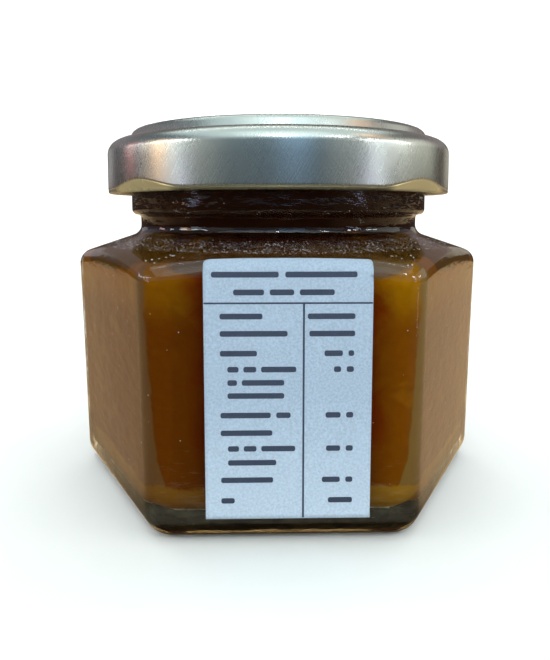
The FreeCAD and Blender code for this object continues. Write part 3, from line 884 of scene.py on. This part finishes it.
class JAR_OT_label(Operator):
    """Lay the paper label on the front face, lapping a little over the shoulder, and print it"""
    bl_idname = "jam_jar.label"
    bl_label = "Label"

    def execute(self, context):
        settings = context.scene.jam_jar
        label = settings.label
        bm = self.paper(label, GlassFront(settings.glass))
        face = BVHTree.FromBMesh(bm)
        bmesh.ops.solidify(bm, geom=bm.faces, thickness=label.thickness)
        bmesh.ops.recalc_face_normals(bm, faces=bm.faces)
        add_piece("paper_label", bm, paper_material(label), replaces="label")

        bm = bmesh.new()
        for bar in self.bars(label):
            self.draw_bar(bm, *bar)
        for vert in bm.verts:
            place, normal, *_ = face.ray_cast(Vector((vert.co.x, -1, vert.co.z)), Vector((0, 1, 0)))
            if place is None:
                raise RuntimeError("a printed bar misses the label")
            vert.co = place + normal * INK_LIFT
        add_piece("label_print", bm, ink_material(label), smooth=False)
        return {"FINISHED"}

    @staticmethod
    def paper(label, front):
        """The paper's face: a grid laid up the glass, with rounded upper corners."""
        bm = bmesh.new()
        bmesh.ops.create_grid(bm, x_segments=PAPER_COLUMNS, y_segments=PAPER_ROWS, size=0.5)
        # Closer rows where the paper bends.
        reaches = [label.tall * (1 - (1 - step / PAPER_ROWS) ** 1.35) for step in range(PAPER_ROWS + 1)]
        lines = {}
        for vert in bm.verts:
            row = round((vert.co.y + 0.5) * PAPER_ROWS)
            left = reaches[-1] - reaches[row]
            inset = 0.0
            if left < label.corner:
                inset = label.corner - math.sqrt(label.corner ** 2 - (label.corner - left) ** 2)
            inset_right = inset * 0.5
            spot = round(vert.co.x + 0.5, 6)
            x = (label.left + inset) * (1 - spot) + (label.right - inset_right) * spot
            if (spot, round(x, 7)) not in lines:
                lines[spot, round(x, 7)] = front.sheet(x, label.foot, reaches)
            vert.co = lines[spot, round(x, 7)][row]
        bmesh.ops.recalc_face_normals(bm, faces=bm.faces)
        bm.normal_update()
        if sum(face.normal.y for face in bm.faces) > 0:
            bmesh.ops.reverse_faces(bm, faces=bm.faces)
            bm.normal_update()
        for vert in bm.verts:
            vert.co += vert.normal * (PAPER_GAP + label.thickness)
        bm.normal_update()
        return bm

    @staticmethod
    def bars(label):
        """Every bar of print and both ruling lines, each as its middle across and up, width and height."""
        bars = [((left + right) / 2 * MM, height * MM, (right - left) * MM, BAR_THICK * MM)
                for height, row in PRINT_ROWS for left, right in row]
        rule, foot = HEADER_RULE * MM, label.foot + 0.1 * MM
        middle, wide = (label.left + label.right) / 2, label.right - label.left - 2 * RULE_MARGIN * MM
        bars.append((middle, rule, wide, HEADER_RULE_THICK * MM))
        bars.append((COLUMN_RULE * MM, (foot + rule) / 2, COLUMN_RULE_THICK * MM, rule - foot))
        return bars

    @staticmethod
    def draw_bar(bm, x, z, wide, tall):
        """One bar of print with softened corners, facing forwards."""
        columns, rows = max(1, round(wide / MM)), max(1, round(tall / MM))
        made = bmesh.ops.create_grid(bm, x_segments=columns, y_segments=rows, size=0.5)["verts"]
        bmesh.ops.scale(bm, vec=(wide, tall, 1), verts=made)
        corners = [vert for vert in made if len(vert.link_edges) == 2]
        rounded = bmesh.ops.bevel(bm, geom=corners, offset=0.35 * min(wide, tall), segments=3, profile=0.5,
                                  affect="VERTICES", material=-1)["verts"]
        made = list({vert for vert in made if vert.is_valid} | set(rounded))
        bmesh.ops.rotate(bm, cent=(0, 0, 0), matrix=Matrix.Rotation(math.radians(90), 3, "X"), verts=made)
        bmesh.ops.translate(bm, vec=(x, -0.05, z), verts=made)


# ---------------------------------------------------------------- specks and bubbles

def speck_material():
    """Bright dry specks of dust and sugar on the glass; the larger beads on the shoulder's corners are
    painted glints.
    """
    shade = Shade("dust_specks_and_glints")
    tone = shade.blend(shade.noise(shade.place(), 3000, 2), (0.38, 0.34, 0.33), (0.86, 0.85, 0.88))
    return shade.finish(Base_Color=tone, Roughness=0.25, Specular_IOR_Level=0.8)


def bubble_material():
    """Small air bubbles in the jam."""
    shade = Shade("jam_bubbles")
    tone = shade.blend(shade.noise(shade.place(), 2500, 2), (0.30, 0.14, 0.02), (0.60, 0.36, 0.10))
    return shade.finish(Base_Color=tone, Roughness=0.15, Specular_IOR_Level=0.7)


class JAR_OT_specks(Operator):
    """Scatter fine specks on the shoulder and small bubbles against the inside of the glass"""
    bl_idname = "jam_jar.specks"
    bl_label = "Specks and bubbles"

    def execute(self, context):
        settings = context.scene.jam_jar
        glass, jam = settings.glass, settings.jam
        chance = random.Random(11)
        tree = surface("jar_glass")
        beads = []
        for number in range(glass.dust):      # it lies all round, and thicker over the label
            bearing = chance.uniform(0, 2 * math.pi) if number % 2 else chance.gauss(-math.pi / 2, 0.55)
            across = glass.neck + (0.9 + 4.6 * chance.random() ** 0.65) * MM
            radius = (0.026 + 0.060 * chance.random() ** 3) * MM
            beads.append(self.dust(tree, bearing, across, radius, chance.uniform(0.4, 0.8)))
        # Painted glints: larger pale beads on each corner of the shoulder stand in for the sparkle of light
        # there.
        for corner in range(SIDES):
            for _ in range(glass.corner_beads):
                bearing = math.radians(60 * corner + chance.gauss(0, 3.5))
                across = chance.uniform(29.5, 32.6) * MM
                beads.append(self.dust(tree, bearing, across, chance.uniform(0.06, 0.15) * MM, 0.5))
        for _ in range(glass.face_specks):
            bearing, height = chance.uniform(0, 2 * math.pi), chance.uniform(8, 34) * MM
            place, normal = self.inwards(tree, bearing, height)
            if abs(place.x) > 10.8 * MM or place.y > 0:      # the label stays clean
                beads.append((place, normal, chance.uniform(0.03, 0.08) * MM, 0.5))
        add_piece("shoulder_specks", self.string(filter(None, beads)), speck_material())

        tree = surface("apricot_jam")
        beads = []
        for _ in range(jam.bubbles):
            bearing, height = chance.uniform(0, 2 * math.pi), chance.uniform(9, 33) * MM
            beads.append((*self.inwards(tree, bearing, height), chance.uniform(0.05, 0.13) * MM, 0.5))
        add_piece("jam_bubbles", self.string(beads), bubble_material())
        return {"FINISHED"}

    @staticmethod
    def inwards(tree, bearing, height):
        """Where a level ray towards the jar's axis meets a surface, and the surface's normal there."""
        heading = level(bearing)
        return tree.ray_cast(raised(heading * 0.06, height), -heading.to_3d())[:2]

    @staticmethod
    def dust(tree, bearing, across, radius, flatness):
        """A speck dropped straight down on to the shoulder, or None where it misses."""
        place, normal = tree.ray_cast(raised(level(bearing) * across, 0.044), Vector((0, 0, -1)))[:2]
        return (place, normal, radius, flatness) if place is not None and place.z > 0.030 else None

    @staticmethod
    def string(beads):
        """One bmesh of small beads, each flattened against the surface it lies on."""
        bm, part, held = bmesh.new(), bmesh.new(), bpy.data.meshes.new("held")
        for number, (place, normal, radius, flatness) in enumerate(beads):
            lie = normal.to_track_quat("Z", "Y").to_matrix().to_4x4()
            matrix = Matrix.Translation(place) @ lie @ Matrix.Diagonal((1, 1, flatness, 1))
            bmesh.ops.create_icosphere(part, subdivisions=1, radius=radius, matrix=matrix)
            if number % 60 == 59:     # small batches, since each bead takes longer in a fuller bmesh
                part.to_mesh(held)
                bm.from_mesh(held)
                part.clear()
        part.to_mesh(held)
        bm.from_mesh(held)
        part.free()
        bpy.data.meshes.remove(held)
        return bm


# ---------------------------------------------------------------- stage

# Soft lights: name, place and size in metres, power in watts, colour. Each looks at the jar.
LIGHTS = (
    ("overhead", (0.0, -0.13, 0.46), (0.86, 0.84), 2.0, (0.80, 0.98, 1.0)),
    ("front", (0.0, -0.34, 0.36), (0.40, 0.34), 0.27, (0.84, 0.96, 1.0)),
    ("blue_front", (0.045, -0.29, 0.20), (0.10, 0.13), 0.036, (0.36, 0.68, 1.0)),
    ("blue_low", (0.045, -0.30, 0.106), (0.09, 0.06), 0.011, (0.27, 0.54, 1.0)),
    ("red_left", (-0.302, 0.083, 0.115), (0.016, 0.10), 0.009, (1.0, 0.10, 0.08)),
    ("warm_left", (-0.31, -0.066, 0.125), (0.04, 0.12), 0.060, (1.0, 0.56, 0.26)),
    ("cool_left", (-0.295, -0.124, 0.115), (0.046, 0.11), 0.028, (0.82, 0.98, 1.0)),
    ("pale_left", (-0.238, -0.214, 0.115), (0.14, 0.11), 0.013, (1.0, 0.98, 0.76)),
    ("pale_right", (0.20, -0.25, 0.115), (0.12, 0.11), 0.009, (1.0, 1.0, 0.84)),
    ("cool_right", (0.280, -0.155, 0.115), (0.036, 0.11), 0.036, (0.86, 0.98, 1.0)),
    ("violet_left", (-0.285, -0.150, 0.047), (0.06, 0.022), 0.013, (0.66, 0.66, 1.0)),
    ("violet_right", (0.27, -0.178, 0.047), (0.06, 0.022), 0.016, (0.66, 0.66, 1.0)),
    ("far_left", (-0.20, 0.25, 0.08), (0.10, 0.05), 0.006, (0.98, 0.94, 1.0)),
    ("far_right", (0.20, 0.25, 0.08), (0.10, 0.05), 0.008, (1.0, 0.98, 0.84)),
    ("streak_right", (0.111, -0.057, 0.012), (0.006, 0.016), 0.0004, (1.0, 0.95, 0.88)),
    ("right", (0.32, 0.01, 0.142), (0.26, 0.16), 0.088, (0.95, 1.0, 0.88)),
    ("warm_top", (0.25, -0.11, 0.27), (0.08, 0.10), 0.038, (1.0, 0.50, 0.18)),
)

# Small lights that put short glints on the neck and the corners: direction from the neck, and power in watts.
GLINTS = (
    (-0.948, 0.250, 0.200, 0.0052), (-0.971, 0.046, 0.235, 0.0091), (-0.953, -0.144, 0.266, 0.0182),
    (-0.885, -0.357, 0.299, 0.0195), (-0.813, -0.489, 0.318, 0.0182), (-0.009, -0.829, 0.558, 0.0442),
    (0.510, -0.681, 0.525, 0.0312), (0.779, -0.539, 0.320, 0.0286), (0.923, -0.265, 0.279, 0.0260),
    (0.954, -0.147, 0.260, 0.0156),
)
GLINT_CENTRE, GLINT_DISTANCE, GLINT_SIZE = Vector((0, 0, 0.041)), 0.28, (0.022, 0.028)
GLINT_COLOUR = (0.94, 0.98, 1.0)
LOOK_AT = Vector((0, 0, 0.028))      # the middle of the jar, which the lights face
VIEW_SHIFT = (-0.005, -0.1034)       # how far the view is moved right and up, in widths of the view
VIEW_LIMITS = (0.002, 20)            # the nearest and farthest that the camera sees, in metres


def floor_material(stage):
    """Plain pale floor with a faint mottle."""
    shade = Shade("pale_floor")
    cloud = shade.noise(shade.place(), 25, 3)
    tone = shade.blend(cloud, stage.floor, scaled(stage.floor, 0.95))
    return shade.finish(Base_Color=tone, Roughness=0.7, Specular_IOR_Level=0.2)


def add_floor(stage):
    """A level round floor that sweeps up into the background."""
    bm = bmesh.new()
    sweep = [(0.001, 0, 0, 0), (stage.radius, 0, stage.bend, 16), (stage.radius + 0.02, stage.rise, 0, 0)]
    draw_side(bm, rounded_path(sweep))
    spin_side(bm, 64)
    bmesh.ops.holes_fill(bm, edges=[edge for edge in bm.edges if edge.is_boundary
                                    and edge.verts[0].co.xy.length < 0.01], sides=0)
    bmesh.ops.recalc_face_normals(bm, faces=bm.faces)
    if next(face for face in bm.faces if abs(face.normal.z) > 0.9).normal.z < 0:
        bmesh.ops.reverse_faces(bm, faces=bm.faces)
    floor = add_object("floor", bm, floor_material(stage))
    floor.visible_glossy = False     # gloss on the jar shows the plain graded air instead


def add_lamp(scene, name, place, size, power, tint):
    """A rectangular light that looks at the jar and isn't seen itself."""
    lamp = bpy.data.lights.new(name, "AREA")
    lamp.shape, lamp.size, lamp.size_y = "RECTANGLE", *size
    lamp.energy, lamp.color = power, tint
    light = bpy.data.objects.new(name, lamp)
    light.location = place
    light.rotation_euler = (Vector(place) - LOOK_AT).to_track_quat("Z", "Y").to_euler()
    light.visible_camera = False
    scene.collection.objects.link(light)
    return light


def add_air(scene, stage):
    """Plain light from all round, in level bands that differ in front and behind."""
    world = bpy.data.worlds.new("plain_air")
    world.use_nodes = True
    air = Nodes(world.node_tree)
    heading = air.add("ShaderNodeTexCoord").outputs["Generated"]
    rise = air.parts(heading)[2]
    facing = air.add("ShaderNodeVectorMath", {0: heading, 1: (0.25, 0.9, 0)}, operation="DOT_PRODUCT")
    front = air.banded(stage.front_ground, rise, (
        (-0.84, -0.74, stage.front_steep), (-0.54, -0.46, stage.front_ground), (0.0, 0.07, stage.front_sky)))
    back = air.banded(stage.back_steep, rise, (
        (-0.54, -0.40, stage.back_ground), (-0.095, -0.055, stage.back_low),
        (0.175, 0.215, stage.back_middle), (0.45, 0.65, stage.back_high)))
    backwards = air.step(facing.outputs["Value"], -0.6, 0.85, smooth=False)
    tone = air.blend(backwards, front, back)
    air.feed(world.node_tree.nodes["Background"].inputs["Color"], tone)
    scene.world = world


def add_camera(scene, stage):
    """The camera: a little to the left of the front face, looking slightly down."""
    lens = bpy.data.cameras.new("camera")
    lens.lens, lens.sensor_width = stage.camera_lens, 36
    lens.shift_x, lens.shift_y = VIEW_SHIFT
    lens.clip_start, lens.clip_end = VIEW_LIMITS
    camera = bpy.data.objects.new("camera", lens)
    camera.location = (-stage.camera_distance * math.sin(stage.camera_turn),
                       -stage.camera_distance * math.cos(stage.camera_turn), stage.camera_height)
    camera.rotation_euler = (math.pi / 2 - stage.camera_pitch, 0, -stage.camera_turn)
    scene.collection.objects.link(camera)
    scene.camera = camera


class JAR_OT_stage(Operator):
    """Set up the pale floor, the soft lights and the camera"""
    bl_idname = "jam_jar.stage"
    bl_label = "Floor, lights and camera"

    def execute(self, context):
        scene = context.scene
        stage = scene.jam_jar.stage
        add_floor(stage)
        for light in LIGHTS:
            add_lamp(scene, *light)
        for number, (*heading, power) in enumerate(GLINTS):
            place = GLINT_CENTRE + Vector(heading) * GLINT_DISTANCE
            add_lamp(scene, f"glint_{number}", place, GLINT_SIZE, power, GLINT_COLOUR)
        backdrop = add_lamp(scene, "backdrop", (0, 0.12, 0.60), (0.70, 0.20), 3.2, (1.0, 1.0, 1.0))
        backdrop.rotation_euler = (math.radians(70), 0, 0)     # this one lights the background behind the jar
        add_air(scene, stage)
        scene.view_settings.view_transform = "Standard"
        add_camera(scene, stage)
        return {"FINISHED"}


# ---------------------------------------------------------------- add-on

PIECES = (JAR_OT_glass, JAR_OT_jam, JAR_OT_lid, JAR_OT_label, JAR_OT_specks, JAR_OT_stage)


class JAR_PT_panel(Panel):
    """The jar's pieces, in the order in which they are built"""
    bl_idname = "JAR_PT_panel"
    bl_label = "Jam Jar"
    bl_space_type = "VIEW_3D"
    bl_region_type = "UI"
    bl_category = "Jam Jar"

    def draw(self, context):
        column = self.layout.column()
        for piece in PIECES:
            column.operator(piece.bl_idname)
        settings = context.scene.jam_jar
        for name in ("glass", "jam", "lid", "label", "stage"):
            group = getattr(settings, name)
            box = self.layout.box()
            box.label(text=name.capitalize())
            for field in group.bl_rna.properties:
                if field.identifier not in ("rna_type", "name"):
                    box.prop(group, field.identifier)


CLASSES = (GlassSettings, JamSettings, LidSettings, LabelSettings, StageSettings, JarSettings, *PIECES,
           JAR_PT_panel)


def register():
    for item in CLASSES:
        bpy.utils.register_class(item)
    bpy.types.Scene.jam_jar = PointerProperty(type=JarSettings)


def unregister():
    del bpy.types.Scene.jam_jar
    for item in reversed(CLASSES):
        bpy.utils.unregister_class(item)


def main():
    register()
    bpy.ops.jam_jar.glass()
    bpy.ops.jam_jar.jam()
    bpy.ops.jam_jar.lid()
    bpy.ops.jam_jar.label()
    bpy.ops.jam_jar.specks()
    bpy.ops.jam_jar.stage()


if __name__ == "__main__":
    main()
